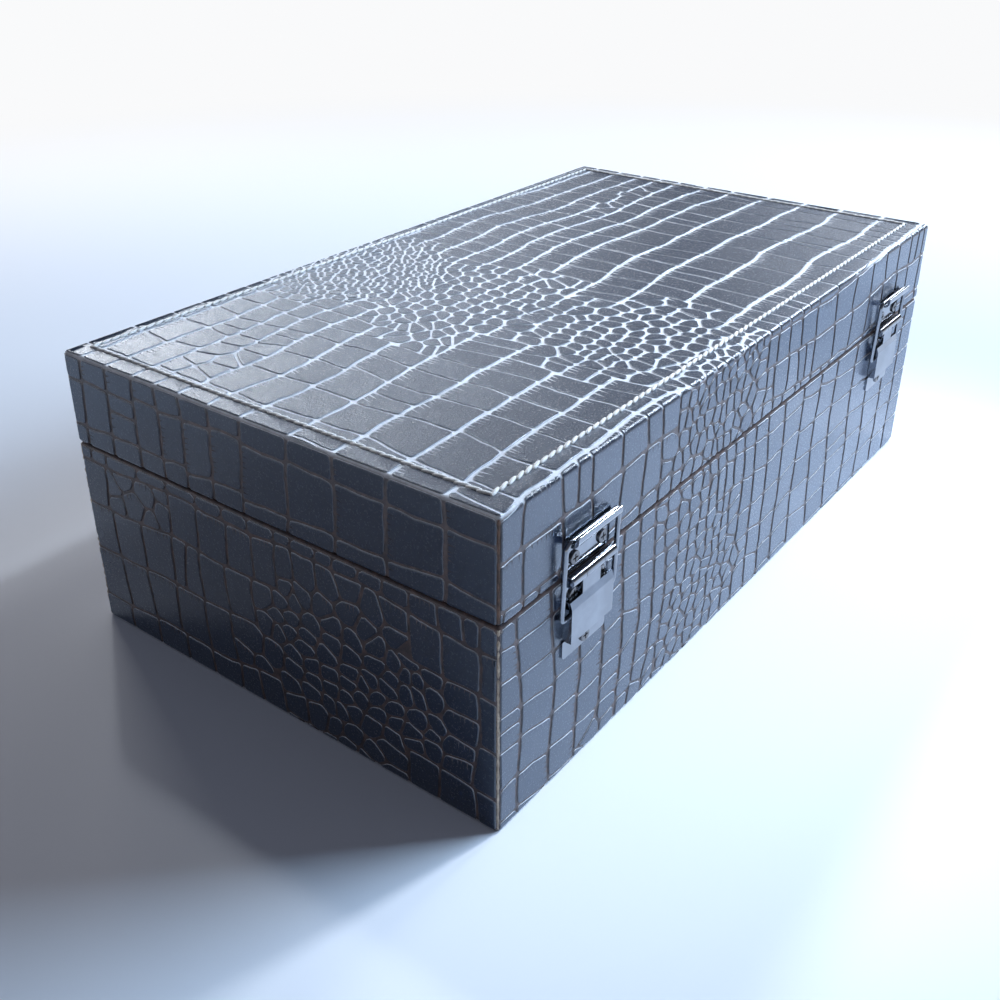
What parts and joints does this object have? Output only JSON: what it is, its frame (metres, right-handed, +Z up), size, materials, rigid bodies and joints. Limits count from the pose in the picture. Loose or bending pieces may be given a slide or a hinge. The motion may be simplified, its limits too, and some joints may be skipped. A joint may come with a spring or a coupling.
{
  "type": "storage box",
  "caption": "Rectangular keepsake box covered in crocodile-embossed imitation leather, with a hinged stitched lid and wire-bail draw latches on the front.",
  "frame": {"origin": "centre of the base, on the surface the box stands on", "axes": "+X along the long side, +Y from the latches to the hinges, +Z up"},
  "size_m": [0.36, 0.2157, 0.12],
  "materials": {
    "leather": "glossy crocodile-embossed imitation leather, nearly black with brown grooves",
    "board": "raw fibreboard",
    "velvet": "short-pile black velvet",
    "base_felt": "felt",
    "foam": "thin foam",
    "latch_metal": "polished black nickel",
    "hinge_metal": "polished black nickel"
  },
  "bodies": {
    "box": {"body_front_board": "board", "body_back_board": "board", "body_left_board": "board", "body_right_board": "board", "body_bottom_board": "board", "body_leather": "leather", "base_sheet": "base_felt", "body_lining_front": "velvet", "body_lining_back": "velvet", "body_lining_left": "velvet", "body_lining_right": "velvet", "body_floor_pad": "velvet", "left_hinge_body_leaf": "hinge_metal", "left_hinge_pin": "hinge_metal", "left_latch_base": "latch_metal", "left_latch_pin": "latch_metal", "right_hinge_body_leaf": "hinge_metal", "right_hinge_pin": "hinge_metal", "right_latch_base": "latch_metal", "right_latch_pin": "latch_metal", "hinge_body_screws": "hinge_metal", "latch_base_screws": "latch_metal"},
    "lid": {"lid_front_board": "board", "lid_back_board": "board", "lid_left_board": "board", "lid_right_board": "board", "lid_top_board": "board", "lid_top_foam": "foam", "lid_leather": "leather", "lid_lining_front": "velvet", "lid_lining_back": "velvet", "lid_lining_left": "velvet", "lid_lining_right": "velvet", "lid_lining_pad": "velvet", "left_hinge_lid_leaf": "hinge_metal", "left_latch_strike": "latch_metal", "right_hinge_lid_leaf": "hinge_metal", "right_latch_strike": "latch_metal", "hinge_lid_screws": "hinge_metal", "latch_strike_screws": "latch_metal"},
    "left_lever": {"left_latch_lever": "latch_metal"},
    "left_bail": {"left_latch_bail": "latch_metal"},
    "right_lever": {"right_latch_lever": "latch_metal"},
    "right_bail": {"right_latch_bail": "latch_metal"}
  },
  "joints": [
    {"name": "lid_hinge", "type": "hinge", "parent": "box", "child": "lid", "pos_m": [0, 0.1051, 0.082], "axis": [-1, 0, 0], "range_deg": [0, 105]},
    {"name": "left_lever_turn", "type": "hinge", "parent": "box", "child": "left_lever", "pos_m": [-0.1335, -0.1052, 0.0813], "axis": [-1, 0, 0], "range_deg": [0, 75]},
    {"name": "left_bail_turn", "type": "hinge", "parent": "left_lever", "child": "left_bail", "pos_m": [-0.1335, -0.1045, 0.067], "axis": [-1, 0, 0], "range_deg": [-43, 0]},
    {"name": "right_lever_turn", "type": "hinge", "parent": "box", "child": "right_lever", "pos_m": [0.1335, -0.1052, 0.0813], "axis": [-1, 0, 0], "range_deg": [0, 75]},
    {"name": "right_bail_turn", "type": "hinge", "parent": "right_lever", "child": "right_bail", "pos_m": [0.1335, -0.1045, 0.067], "axis": [-1, 0, 0], "range_deg": [-43, 0]}
  ],
  "couplings": [
    {"joint": "left_bail_turn", "follows": "left_lever_turn", "ratio": -0.57},
    {"joint": "right_bail_turn", "follows": "right_lever_turn", "ratio": -0.57}
  ]
}
